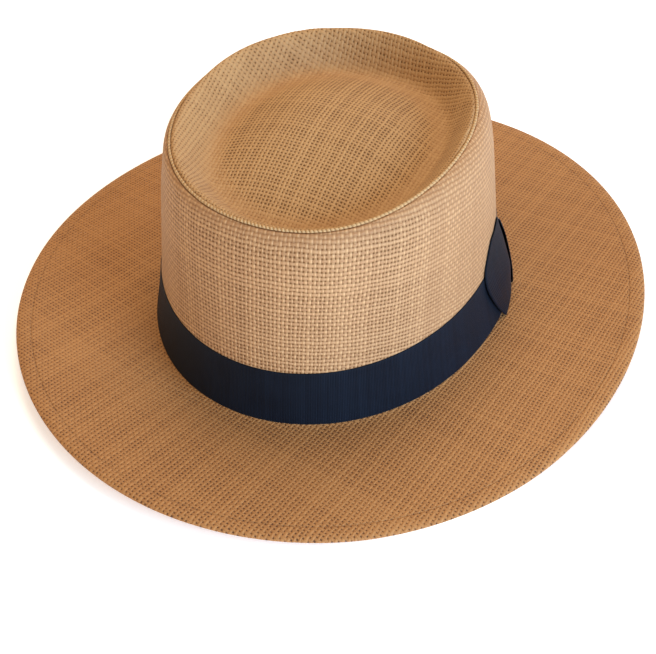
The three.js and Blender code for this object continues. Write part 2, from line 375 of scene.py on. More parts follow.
# Stage
FLOOR_SIZE = 4.0
FLOOR_ROUGHNESS = 0.9
GLOW_COLOUR = (1.0, 1.0, 1.0, 1.0)
LAMP_SIZE = 1.8
WINDOW_PLACE = (2.35, -1.75, 0.65)
OVERHEAD_PLACE = (0.0, 1.5, 2.6)

# Camera: turned and raised round the hat, rolled, and moved in its own plane
CAMERA_TURN = 0.25
CAMERA_RISE = 0.6904
CAMERA_ROLL = -0.0649
CAMERA_DISTANCE = 1.2
CAMERA_SHIFT = (-0.0013, -0.0192)
CAMERA_LENS = 131.1


def wave_height(rows, turn):
    """Sum of a table's waves at one angle round the hat."""
    return sum(rise * math.cos(lobes * (turn - math.radians(at))) for lobes, rise, at in rows)


def clamped(value):
    """A value held between 0 and 1."""
    return min(1.0, max(0.0, value))


def value_at(rows, position, column):
    """Value in one column of a table, smoothly between its rows."""
    last = max(1, min(len(rows) - 1, sum(row[0] < position for row in rows)))
    low, high = rows[last - 1], rows[last]
    before, after = rows[max(0, last - 2)], rows[min(len(rows) - 1, last + 1)]
    span = high[0] - low[0]
    share = clamped((position - low[0]) / span)
    slope_low = span * (high[column] - before[column]) / (high[0] - before[0])
    slope_high = span * (after[column] - low[column]) / (after[0] - low[0])
    cubed = share**3
    squared = share**2
    return (
        (2 * cubed - 3 * squared + 1) * low[column]
        + (cubed - 2 * squared + share) * slope_low
        + (3 * squared - 2 * cubed) * high[column]
        + (cubed - squared) * slope_high
    )


def oval_point(turn, radius, height):
    """Point on the oval of a mean radius, at one angle and height."""
    oval = OVALNESS * min(1.0, radius / TROUGH_RADIUS)
    return Vector(((radius - oval) * math.cos(turn), (radius + oval) * math.sin(turn), height))


def pressed_point(turn, radius, height, waved, shifted, lean):
    """Point on the crown, with its shares of the waves, of the seam's shift and of the lean."""
    bulged = radius + waved * wave_height(CROWN_BULGES, turn)
    bulged += shifted * wave_height(SEAM_SHIFT, turn)
    rise = BRIM_LEVEL + height + waved * wave_height(CREST_WAVES, turn)
    point = oval_point(turn, bulged, rise)
    point.x += CREST_LEAN[0] * lean
    point.y += CREST_LEAN[1] * lean
    return point


def crown_point(turn, radius, height):
    """Point on the crown's side, which leans and waves more the higher it is."""
    lean = clamped(height / SHOULDER_HEIGHT)
    over = clamped((height - SHOULDER_LOW) / (SEAM_LOW - SHOULDER_LOW))
    rolled = (1 - ROLL_SINK) * over * wave_height(CREST_ROLL, turn)
    return pressed_point(turn, radius, height + rolled, lean**2, over, lean)


def tip_point(turn, radius, height):
    """Point on the crown's tip, with its height above the brim."""
    share = clamped(radius / RIM_RADIUS)
    out = clamped((radius - TROUGH_RADIUS) / (SEAM_RADIUS - TROUGH_RADIUS))
    up = clamped((radius - TROUGH_RADIUS) / (ROLL_RADIUS - TROUGH_RADIUS))
    down = ROLL_SINK * clamped((radius - ROLL_RADIUS) / (SEAM_RADIUS - ROLL_RADIUS))
    rolled = (up - down) * wave_height(CREST_ROLL, turn)
    dip = value_at(TROUGH_SHARE, radius, 1) * wave_height(TROUGH_DIP, turn)
    return pressed_point(turn, radius, height + rolled - dip, share, out, 1.0)


def brim_point(turn, radius, height):
    """Point on the brim, or on its collar inside the crown, never under the floor."""
    if height > 0:
        return crown_point(turn, radius, height)
    out = max(0.0, (radius - BASE_RADIUS) / (EDGE_RADIUS - BASE_RADIUS))
    rise = BRIM_LEVEL + height + wave_height(EDGE_WAVES, turn) * out**EDGE_SWEEP
    return oval_point(turn, radius, max(0.0, rise))


def side_radius(height):
    """Mean radius of the crown side's outer face at a height."""
    return BASE_RADIUS - value_at(SIDE_SECTION, height, 1)


def ribbon_point(turn, height, stand):
    """Point on the ribbon, a distance off the crown's side.

    The band's top edge rises and falls, and its foot stands away behind the bow.
    """
    share = min(1.0, height / BAND_HIGH)
    level = height + wave_height(BAND_RISE, turn) * share
    away = (turn - BAND_FLARE_AT) / BAND_FLARE_WIDTH
    flare = BAND_FLARE * math.exp(-(away**2)) * (1 - share) ** 2
    return crown_point(turn, side_radius(level) + stand + flare, level)


def section_length(section):
    """Length of a section from its first point to its last."""
    return sum(math.dist(start, end) for start, end in zip(section, section[1:]))


def arc_length(turn, radius):
    """Length along an oval from +X to an angle."""
    return radius * turn + OVALNESS * math.sin(2 * turn) / 2


def plan_weave(point, rows):
    """Place on the thread map, from the rows of a weave that is seen from above."""
    places = []
    for degrees, fan, pitch in rows:
        across, up = math.cos(math.radians(degrees)), math.sin(math.radians(degrees))
        straight = point.x * across + point.y * up
        bent = (
            -up * (1 + across**2) * point.x**2 / 2
            + across**3 * point.x * point.y
            + up * across**2 * point.y**2 / 2
        )
        places.append((straight + fan * bent) / pitch + WEAVE_START)
    return places


def finish_object(name, mesh_data, material, levels, thickness=0.0):
    """Makes the smooth object of a mesh, thickened towards its inside and subdivided."""
    mesh_data.shade_smooth()
    mesh_data.materials.append(material)
    piece = bpy.data.objects.new(name, mesh_data)
    bpy.context.collection.objects.link(piece)
    if thickness:
        wall = piece.modifiers.new("Wall", "SOLIDIFY")
        wall.thickness = thickness
        wall.offset = -1.0
        wall.use_even_offset = True
    if levels:
        rounding = piece.modifiers.new("Rounding", "SUBSURF")
        rounding.levels = levels
        rounding.render_levels = levels
    return piece


def spun_mesh(name, section, closed, steps, place, weave):
    """Mesh of a section spun round the hat's middle.

    place turns an angle, a radius and a height into a point. weave turns the same, the
    length along the section and the point into the places on the thread and sewing maps.
    """
    shape = bmesh.new()
    run_layer = shape.verts.layers.float.new("run")
    chain = []
    for index, (radius, height) in enumerate(section):
        vertex = shape.verts.new((radius, 0.0, height))
        vertex[run_layer] = section_length(section[: index + 1])
        chain.append(vertex)
    pairs = list(zip(chain, chain[1:]))
    if closed:
        pairs.append((chain[-1], chain[0]))
    edges = [shape.edges.new(pair) for pair in pairs]
    bmesh.ops.spin(
        shape,
        geom=chain + edges,
        cent=(0, 0, 0),
        axis=(0, 0, 1),
        angle=2 * math.pi,
        steps=steps,
        use_merge=True,
    )
    bmesh.ops.remove_doubles(shape, verts=shape.verts, dist=MERGE_DISTANCE)
    bmesh.ops.recalc_face_normals(shape, faces=shape.faces)
    map_threads(shape, run_layer, place, weave)
    for vertex in shape.verts:
        turn = math.atan2(vertex.co.y, vertex.co.x)
        vertex.co = place(turn, math.hypot(vertex.co.x, vertex.co.y), vertex.co.z)
    if not closed:
        face_outwards(shape)
    mesh_data = bpy.data.meshes.new(name)
    shape.to_mesh(mesh_data)
    shape.free()
    return mesh_data


def face_outwards(shape):
    """Turns an open shell round if its faces look at the hat's inside."""
    shape.normal_update()
    looks = sum(face.normal.dot(face.calc_center_median()) for face in shape.faces)
    if looks < 0:
        bmesh.ops.reverse_faces(shape, faces=shape.faces)


def map_threads(shape, run_layer, place, weave):
    """Writes the maps of a round shell, cut at the back of the hat."""
    threads = shape.loops.layers.uv.new("threads")
    sewing = shape.loops.layers.uv.new("sewing")
    back = math.pi / 2
    for face in shape.faces:
        centre = face.calc_center_median()
        middle = math.atan2(centre.y, centre.x)
        if middle > back:
            middle -= 2 * math.pi
        for loop in face.loops:
            x, y, height = loop.vert.co
            radius = math.hypot(x, y)
            turn = math.atan2(y, x) if radius else middle
            turn -= 2 * math.pi * round((turn - middle) / (2 * math.pi))
            run = loop.vert[run_layer]
            maps = weave(turn, radius, height, run, place(turn, radius, height))
            loop[threads].uv, loop[sewing].uv = maps


def strip_mesh(name, columns, rows, place, length):
    """Mesh of a ribbon laid out by place, from shares along and across it to a point."""
    shape = bmesh.new()
    bmesh.ops.create_grid(shape, x_segments=columns, y_segments=rows, size=0.5)
    ribs = shape.loops.layers.uv.new("threads")
    for face in shape.faces:
        for loop in face.loops:
            loop[ribs].uv = ((loop.vert.co.x + 0.5) * length, loop.vert.co.y + 0.5)
    for vertex in shape.verts:
        vertex.co = place(vertex.co.x + 0.5, vertex.co.y + 0.5)
    bmesh.ops.recalc_face_normals(shape, faces=shape.faces)
    mesh_data = bpy.data.meshes.new(name)
    shape.to_mesh(mesh_data)
    shape.free()
    return mesh_data


class Wire:
    """A shader socket that takes part in Python expressions."""

    def __init__(self, recipe, socket):
        self.recipe = recipe
        self.socket = socket

    def _maths(self, operation, *values):
        sockets = dict(enumerate(values))
        return self.recipe.node("ShaderNodeMath", {"operation": operation}, sockets)

    def __add__(self, other):
        return self._maths("ADD", self, other)

    def __radd__(self, other):
        return self._maths("ADD", other, self)

    def __sub__(self, other):
        return self._maths("SUBTRACT", self, other)

    def __rsub__(self, other):
        return self._maths("SUBTRACT", other, self)

    def __mul__(self, other):
        return self._maths("MULTIPLY", self, other)

    def __rmul__(self, other):
        return self._maths("MULTIPLY", other, self)

    def __truediv__(self, other):
        return self._maths("DIVIDE", self, other)

    def __pow__(self, other):
        return self._maths("POWER", self, other)

    def __abs__(self):
        return self._maths("ABSOLUTE", self)

    def floor(self):
        """The whole number below."""
        return self._maths("FLOOR", self)

    def modulo(self, other):
        """What is left over after dividing."""
        return self._maths("FLOORED_MODULO", self, other)

    def cosine(self):
        """The cosine of an angle in radians."""
        return self._maths("COSINE", self)

    def highest(self, other):
        """The larger of two values."""
        return self._maths("MAXIMUM", self, other)

    def above(self, other):
        """1 where this is the larger value, and 0 elsewhere."""
        return self._maths("GREATER_THAN", self, other)

    def between(self, low, high):
        """Smoothly from 0 at low to 1 at high."""
        settings = {"interpolation_type": "SMOOTHSTEP"}
        sockets = {"Value": self, "From Min": low, "From Max": high}
        return self.recipe.node("ShaderNodeMapRange", settings, sockets)


class Recipe:
    """A material that is built node by node."""

    def __init__(self, name):
        self.material = bpy.data.materials.new(name)
        self.material.use_nodes = True
        self.tree = self.material.node_tree
        self.surface = self.tree.nodes["Principled BSDF"]

    def node(self, kind, settings, sockets, output=0):
        """Adds a node and gives the Wire of one of its outputs."""
        node = self.tree.nodes.new(kind)
        for setting, value in settings.items():
            setattr(node, setting, value)
        for place, value in sockets.items():
            self.fill(node.inputs[place], value)
        return Wire(self, node.outputs[output])

    def fill(self, socket, value):
        """Links a Wire to a socket, or sets a plain value on it."""
        if isinstance(value, Wire):
            self.tree.links.new(value.socket, socket)
        else:
            socket.default_value = value

    def mix(self, share, first, second):
        """Colour between two colours."""
        sockets = {0: share}
        for place, colour in ((6, first), (7, second)):
            sockets[place] = colour if isinstance(colour, Wire) else (*colour, 1.0)
        return self.node("ShaderNodeMix", {"data_type": "RGBA"}, sockets, 2)

    def plan(self, layer):
        """The two numbers of a UV map."""
        whole = self.node("ShaderNodeUVMap", {"uv_map": layer}, {})
        first = self.node("ShaderNodeSeparateXYZ", {}, {0: whole})
        return first, Wire(self, first.socket.node.outputs[1])

    def coordinate(self, axis):
        """One of the three coordinates in the object's own space."""
        whole = self.node("ShaderNodeTexCoord", {}, {}, 3)
        return self.node("ShaderNodeSeparateXYZ", {}, {0: whole}, axis)

    def noise(self, scale, detail=2.0):
        """Smooth noise in the object's own space, from 0 to 1."""
        whole = self.node("ShaderNodeTexCoord", {}, {}, 3)
        return self.node("ShaderNodeTexNoise", {}, {"Vector": whole, "Scale": scale, "Detail": detail})

    def wander(self, reach, scale):
        """Smooth noise round 0."""
        return (self.noise(scale) - 0.5) * reach

    def chance(self, number):
        """A different value from 0 to 1 for each number."""
        return self.node("ShaderNodeTexWhiteNoise", {"noise_dimensions": "1D"}, {"W": number})

    def finish(self, colour, roughness, height, depth, constants):
        """Sets the surface from a colour, a roughness, a relief of a depth, and constants."""
        relief = {"Height": height, "Distance": depth, "Strength": 1.0}
        self.fill(self.surface.inputs["Base Color"], colour)
        self.fill(self.surface.inputs["Roughness"], roughness)
        self.fill(self.surface.inputs["Normal"], self.node("ShaderNodeBump", {}, relief))
        for socket, value in constants.items():
            self.surface.inputs[socket].default_value = value
        return self.material


def side_tightness(straw):
    """How tight the straw is pulled on the crown's side, from 0 to 1."""
    closed = 1 - straw.plan("sewing")[1].between(*TIGHT_CREST)
    return abs(straw.coordinate(0)).between(*TIGHT_SIDES).highest(closed)


def tip_tightness(straw):
    """How tight the straw is pulled on the crown's tip, from 0 to 1."""
    inward = straw.plan("sewing")[1]
    closed = TIGHT_RIM + (1 - TIGHT_RIM) * inward.between(*TIGHT_START)
    further = inward - straw.coordinate(1).between(*TIGHT_BACK) * TIGHT_FURTHER
    return closed * (1 - further.between(*TIGHT_END))


def straw_material(name, light, dark, gap_shade, threads, tightness=None, sewing=None):
    """Plain-woven paper straw: round threads that pass over and under each other.

    light and dark are the ends of the threads' tone, which holds their painted light and
    painted shade as well as chance, and the gap colour is the painted shade deep between
    them. threads is one of the tables of threads. tightness gives how tight the straw is,
    where it isn't loose all over. sewing is one of the sewing lines, where there is one.
    """
    straw = Recipe(name)
    warps, wefts = straw.plan("threads")
    for reach, scale in THREAD_WANDER:
        warps = warps + straw.wander(reach, scale)
        wefts = wefts + straw.wander(reach, scale * WEFT_SCALE)
    warp_number, weft_number = warps.floor(), wefts.floor()
    # Wefts take their chances at half numbers, so that they differ from the warps'
    warp_chance, weft_chance = straw.chance(warp_number), straw.chance(weft_number + 0.5)
    across_warp = warps - warp_number - 0.5
    across_weft = wefts - weft_number - 0.5
    tight = tightness(straw) * threads["gain"] if tightness else 0.0
    warp_half = threads["warp"] + tight * WARP_GAIN + (warp_chance - 0.5) * THREAD_UNEVENNESS
    weft_half = threads["weft"] + tight + (weft_chance - 0.5) * THREAD_UNEVENNESS
    warp_round = (1 - (across_warp / warp_half) ** 2).highest(0.0)
    weft_round = (1 - (across_weft / weft_half) ** 2).highest(0.0)
    over = (warp_number + weft_number).modulo(2.0) * 2 - 1
    warp_crest = 0.5 + 0.5 * over * (across_weft * math.pi).cosine()
    weft_crest = 0.5 - 0.5 * over * (across_warp * math.pi).cosine()
    warp_height = warp_round * (THREAD_UNDER + THREAD_OVER * warp_crest)
    weft_height = weft_round * (THREAD_UNDER + THREAD_OVER * weft_crest)
    height = warp_height.highest(weft_height)
    warp_on_top = warp_height.above(weft_height)
    thread_chance = warp_on_top * warp_chance + (1 - warp_on_top) * weft_chance
    # Painted shade: each weft darkens towards its edges, where the rows meet
    painted_shade_between_wefts = threads["painted_row_shade"] * (2 * across_weft) ** 2
    # Painted light and shade: a thread is lighter where it is high and darker in its hollows
    tone = TONE_START + PAINTED_RELIEF_SHADING * height + TONE_CHANCE * thread_chance
    tone = tone + TONE_PATCHES * (straw.noise(PATCH_SCALE) - 0.5)
    # Painted light: a warp on top is lighter than a weft on top
    tone = tone + threads["warp_painted_light"] * (warp_on_top - 0.5)
    tone = tone - TIGHT_SHADE * tight - painted_shade_between_wefts
    cover = warp_round.highest(weft_round).between(0.0, THREAD_EDGE)
    cover = cover * (1 - painted_shade_between_wefts * SHADE_OPENS)
    colour = straw.mix(cover, gap_shade, straw.mix(tone, dark, light))
    relief = height
    if sewing:
        along, across = straw.plan("sewing")
        line = 1 - abs(across - sewing["distance"]).between(0.0, SEWING_WIDTH)
        stitch = (along * (2 * math.pi / SEWING_PITCH)).cosine().between(*SEWING_STITCH)
        # Painted shade: the groove beside the crest's seam is darker from the front round the wearer's
        # right to the back
        painted_groove_shade = (0 - along).between(*SHADED_GROOVE)
        darkness = sewing["dark"] + SEWING_STITCH_DARK * stitch + sewing["groove_shade_dark"] * painted_groove_shade
        colour = straw.mix(line * darkness, colour, gap_shade)
        relief = height - line * SEWING_DEPTH
    roughness = STRAW_ROUGHNESS - STRAW_SMOOTHING * height * straw.noise(FIBRE_SCALE, 1.0)
    return straw.finish(colour, roughness, relief, THREAD_RELIEF, STRAW_GLOSS)


def seam_material(name, light, dark, gap_shade):
    """Whipped edge: the straw pulled round in tight slanting stitches."""
    seam = Recipe(name)
    along = seam.plan("threads")[0]
    number = (along + 0.5).floor()
    bulge = 1 - (2 * (along - number)) ** 2
    # Painted light and shade: each stitch is lighter on its bulge, and the grooves between stitches
    # take the painted gap shade
    tone = SEAM_TONE + SEAM_BULGE_SHADING * bulge + SEAM_TONE_CHANCE * (seam.chance(number) - 0.5)
    colour = seam.mix(bulge.between(*SEAM_GROOVE_SHADE_EDGE), gap_shade, seam.mix(tone, dark, light))
    relief = bulge + SEAM_FIBRES * seam.noise(FIBRE_SCALE)
    roughness = SEAM_ROUGHNESS - SEAM_SMOOTHING * bulge
    return seam.finish(colour, roughness, relief, THREAD_RELIEF, STRAW_GLOSS)


def ribbon_material(name, light, dark):
    """Ribbed ribbon with a faint sheen."""
    ribbon = Recipe(name)
    along, across = ribbon.plan("threads")
    rib = along * RIBS_PER_METRE
    number = rib.floor()
    rounded = (1 - (2 * (rib - number - 0.5)) ** 2).highest(0.0)
    picks = (across * (2 * math.pi * RIBBON_WARPS)).cosine() * 0.5 + 0.5
    wear = ribbon.noise(RIBBON_WEAR_SCALE, RIBBON_WEAR_DETAIL)
    # Painted light and shade: the ribs are lighter on their crowns and darker in the hollows between
    # them
    tone = RIBBON_TONE + RIB_SHADING * rounded
    tone = tone + RIBBON_TONE_CHANCE * (ribbon.chance(number) - 0.5)
    tone = tone + RIBBON_TONE_WEAR * (wear - 0.5)
    colour = ribbon.mix(tone.between(0.0, 1.0), dark, light)
    selvedge = abs(across - 0.5).between(*SELVEDGE)
    height = rounded * (1 - PICK_RELIEF + PICK_RELIEF * picks) * (1 - selvedge * SELVEDGE_DROP)
    roughness = RIBBON_ROUGHNESS - RIBBON_SMOOTHING * rounded
    roughness = roughness + RIBBON_WEAR_ROUGHNESS * (wear - 0.5)
    return ribbon.finish(colour, roughness, height, RIB_RELIEF, RIBBON_GLOSS)


def colour_property(name, description, colour):
    """A colour that a user can change."""
    return bpy.props.FloatVectorProperty(
        name=name, description=description, subtype="COLOR", default=colour
    )


class HatSizes(bpy.types.PropertyGroup):
    """Sizes that a user would change."""

    straw: bpy.props.FloatProperty(
        name="Straw thickness",
        description="Thickness of the woven straw walls",
        default=0.0015,
        unit="LENGTH",
    )
    ribbon: bpy.props.FloatProperty(
        name="Ribbon thickness",
        description="Thickness of one layer of ribbon",
        default=0.0004,
        unit="LENGTH",
    )
    steps: bpy.props.IntProperty(
        name="Steps round",
        description="Number of faces round each shell before it is smoothed",
        default=144,
    )
    rounding: bpy.props.IntProperty(
        name="Rounding",
        description="Number of times that each shell is subdivided",
        default=1,
    )


class HatColours(bpy.types.PropertyGroup):
    """Colours that a user would change."""

    # Each straw's light and dark thread colours are the ends of its tone, which holds painted light on
    # the threads' crests, painted shade in their hollows and chance. Each gap colour is painted shade
    # deep between the threads.
    side_light: colour_property(
        "Side threads, light", "Crown side's threads where they catch the light", (0.665, 0.37, 0.172)
    )
    side_dark: colour_property(
        "Side threads, dark", "Crown side's threads in their hollows", (0.448, 0.219, 0.093)
    )
    side_gap_shade: colour_property(
        "Side gaps", "Colour deep between the crown side's threads", (0.15, 0.057, 0.008)
    )
    tip_light: colour_property(
        "Tip threads, light", "Crown tip's threads where they catch the light", (0.585, 0.33, 0.138)
    )
    tip_dark: colour_property(
        "Tip threads, dark", "Crown tip's threads in their hollows", (0.432, 0.215, 0.08)
    )
    tip_gap_shade: colour_property(
        "Tip gaps", "Colour deep between the crown tip's threads", (0.13, 0.051, 0.005)
    )
    seam_light: colour_property(
        "Seam stitches", "Colour of the stitches along the crown's crest", (0.6, 0.348, 0.15)
    )
    brim_light: colour_property(
        "Brim threads, light", "Brim's threads where they catch the light", (0.515, 0.233, 0.075)
    )
    brim_dark: colour_property(
        "Brim threads, dark", "Brim's threads in their hollows", (0.378, 0.15, 0.0415)
    )
    brim_gap_shade: colour_property(
        "Brim gaps", "Colour deep between the brim's threads", (0.11, 0.037, 0.009)
    )
    # The ribbon's two colours are the ends of its tone, which holds painted light on the ribs, painted
    # shade between them, chance and wear
    ribbon_light: colour_property(
        "Ribbon ribs", "Colour of the ribbon's ribs", (0.0068, 0.0115, 0.0215)
    )
    ribbon_dark: colour_property(
        "Ribbon hollows", "Colour between the ribbon's ribs", (0.0023, 0.0035, 0.0072)
    )


class StageSettings(bpy.types.PropertyGroup):
    """The floor and the lights."""

    floor: colour_property("Floor", "Colour of the floor", (0.95, 0.95, 0.95))
    floor_glow: bpy.props.FloatProperty(
        name="Floor glow",
        description="Strength of the light from under the floor, which lifts the shadow",
        default=0.45,
    )
    sky: bpy.props.FloatProperty(
        name="Sky",
        description="Strength of the light from all round",
        default=0.46,
    )
    sky_colour: colour_property(
        "Sky colour", "Colour of the light from all round", (1.18, 0.96, 0.65)
    )
    window: bpy.props.FloatProperty(
        name="Window",
        description="Power of the large low lamp at the hat's bow side",
        default=105.0,
        unit="POWER",
    )
    window_colour: colour_property(
        "Window colour", "Colour of the large low lamp", (0.63, 1.02, 1.52)
    )
    overhead: bpy.props.FloatProperty(
        name="Overhead light",
        description="Power of the large lamp above and behind the hat",
        default=44.0,
        unit="POWER",
    )
    overhead_colour: colour_property(
        "Overhead colour", "Colour of the lamp above and behind the hat", (1.08, 0.97, 0.82)
    )


def hat_settings(context):
    """The sizes and the colours that are set."""
    return context.scene.straw_hat_sizes, context.scene.straw_hat_colours


def dress(piece, node):
    """Puts a finished piece in the place of a CAD node."""
    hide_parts(node)
    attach(piece, "root")


class OBJECT_OT_straw_hat_brim(bpy.types.Operator):
    """Woven brim with its hem, and the collar that is sewn inside the crown"""

    bl_idname = "object.straw_hat_brim"
    bl_label = "Brim"

    def execute(self, context):
        sizes, colours = hat_settings(context)
        span = EDGE_RADIUS - BASE_RADIUS
        leaf = [(BASE_RADIUS + out * span, -depth) for out, depth in BRIM_TOP + BRIM_UNDER]
        foot = BASE_RADIUS - sizes.straw - GAP
        top = side_radius(COLLAR_HEIGHT) - sizes.straw - GAP
        collar = [
            (foot - sizes.straw / 2, -sizes.straw),
            (foot - sizes.straw, -sizes.straw / 2),
            (top - sizes.straw, COLLAR_HEIGHT * COLLAR_ROUNDING),
            (top - sizes.straw / 2, COLLAR_HEIGHT),
            (top, COLLAR_HEIGHT * COLLAR_ROUNDING),
            (foot, GAP),
        ]

        def weave(turn, radius, height, run, point):
            sewing = arc_length(turn, EDGE_RADIUS), EDGE_RADIUS - radius
            return plan_weave(point, BRIM_WEAVE), sewing

        mesh_data = spun_mesh("brim", leaf + collar, True, sizes.steps, brim_point, weave)
        shades = colours.brim_light, colours.brim_dark, colours.brim_gap_shade
        straw = straw_material("brim_straw", *shades, BRIM_THREAD, sewing=HEM_SEWING)
        piece = finish_object("woven_brim", mesh_data, straw, sizes.rounding)
        dress(piece, "brim")
        return {"FINISHED"}


class OBJECT_OT_straw_hat_crown_side(bpy.types.Operator):
    """Woven wall of the crown, up to its rounded shoulder"""

    bl_idname = "object.straw_hat_crown_side"
    bl_label = "Crown side"

    def execute(self, context):
        sizes, colours = hat_settings(context)
        section = [(BASE_RADIUS - inward, height) for height, inward in SIDE_SECTION]
        length = section_length(section)
        around = arc_length(2 * math.pi, SIDE_RADIUS)

        def weave(turn, radius, height, run, point):
            tilt = turn + SIDE_TILT_AT
            bunched = SIDE_BUNCHING * SIDE_RADIUS * math.sin(turn - SIDE_BUNCHED_AT)
            place_round = arc_length(turn, SIDE_RADIUS) + bunched
            place_round -= (run - length / 2) * SIDE_TILT * math.sin(tilt)
            up = run - SIDE_LOOSENING * run**2 / 2 - SIDE_RADIUS * SIDE_TILT * math.cos(tilt)
            warp = place_round / around * SIDE_WARPS
            threads = (warp + WEAVE_START, up / SIDE_PITCH + WEAVE_START)
            return threads, (arc_length(turn, SEAM_RADIUS), length - run)

        mesh_data = spun_mesh("crown_side", section, False, sizes.steps, crown_point, weave)
        shades = colours.side_light, colours.side_dark, colours.side_gap_shade
        looks = SIDE_THREAD, side_tightness, CREST_SEWING
        straw = straw_material("crown_side_straw", *shades, *looks)
        piece = finish_object("woven_crown_side", mesh_data, straw, sizes.rounding, sizes.straw)
        dress(piece, "crown_side")
        return {"FINISHED"}


class OBJECT_OT_straw_hat_crown_tip(bpy.types.Operator):
    """Sunken, domed top of the crown, and the whipped seam along the crest"""

    bl_idname = "object.straw_hat_crown_tip"
    bl_label = "Crown tip and seam"

    def execute(self, context):
        sizes, colours = hat_settings(context)
        section = [(radius, CREST_HEIGHT - drop) for radius, drop in TIP_SECTION]
        length = section_length(section)

        def weave(turn, radius, height, run, point):
            flat = point * ((length - run) / radius if radius else 1.0)
            return plan_weave(flat, TIP_WEAVE), (arc_length(turn, SEAM_RADIUS), run)

        mesh_data = spun_mesh("crown_tip", section, False, sizes.steps, tip_point, weave)
        shades = colours.tip_light, colours.tip_dark, colours.tip_gap_shade
        straw = straw_material("crown_tip_straw", *shades, TIP_THREAD, tip_tightness)
        piece = finish_object("woven_crown_tip", mesh_data, straw, sizes.rounding, sizes.straw)
        dress(piece, "crown_tip")
        self.seam(context)
        return {"FINISHED"}

    def seam(self, context):
        """The narrow ridge that the stitches pull up along the crest."""
        colours = context.scene.straw_hat_colours
        half = SEAM_THICKNESS / 2
        level = CREST_HEIGHT + SEAM_RISE - half
        section = []
        for index in range(SEAM_SIDES):
            corner = 2 * math.pi * index / SEAM_SIDES
            section.append((SEAM_RADIUS + half * math.cos(corner), level + half * math.sin(corner)))
        stitches = round(arc_length(2 * math.pi, SEAM_RADIUS) / STITCH_LENGTH)

        def place(turn, radius, height):
            out, up = radius - SEAM_RADIUS, height - level
            corner = math.atan2(up, out)
            phase = turn * stitches / 2 + corner * STITCH_SLANT
            swell = 1 - STITCH_SWELL * (1 - abs(math.cos(phase)))
            swell *= wave_height(SEAM_SWELL, turn)
            offset = Vector((out * math.cos(turn), out * math.sin(turn), up))
            return tip_point(turn, SEAM_RADIUS, level) + swell * offset

        def weave(turn, radius, height, run, point):
            corner = math.atan2(height - level, radius - SEAM_RADIUS)
            place_along = turn * stitches / (2 * math.pi) + corner * STITCH_SLANT / math.pi
            return (place_along + WEAVE_START, run / SEAM_THICKNESS), (0.0, 0.0)

        steps = stitches * STITCH_STEPS
        mesh_data = spun_mesh("crown_seam", section, True, steps, place, weave)
        shades = colours.seam_light, colours.tip_light, colours.tip_gap_shade
        ridge = finish_object("crown_seam", mesh_data, seam_material("seam_straw", *shades), 0)
        dress(ridge, "crown_tip")


class OBJECT_OT_straw_hat_band(bpy.types.Operator):
    """Ribbed ribbon round the foot of the crown"""

    bl_idname = "object.straw_hat_band"
    bl_label = "Band"

    def execute(self, context):
        sizes, colours = hat_settings(context)
        width = BAND_HIGH - BAND_LOW
        heights = [BAND_LOW + width * (row / BAND_ROWS) for row in range(BAND_ROWS + 1)]

        def place(turn, radius, height):
            belly = BAND_BELLY * math.sin(math.pi * (height - BAND_LOW) / width)
            return ribbon_point(turn, height, BAND_CLEAR + sizes.ribbon + belly)

        def weave(turn, radius, height, run, point):
            along = arc_length(turn, BASE_RADIUS) + RIBBON_START
            return (along, (height - BAND_LOW) / width), (0.0, 0.0)

        section = [(side_radius(height), height) for height in heights]
        mesh_data = spun_mesh("hat_band", section, False, sizes.steps, place, weave)
        ribbon = ribbon_material("band_ribbon", colours.ribbon_light, colours.ribbon_dark)
        piece = finish_object("ribbon_band", mesh_data, ribbon, sizes.rounding, sizes.ribbon)
        dress(piece, "hat_band")
        return {"FINISHED"}


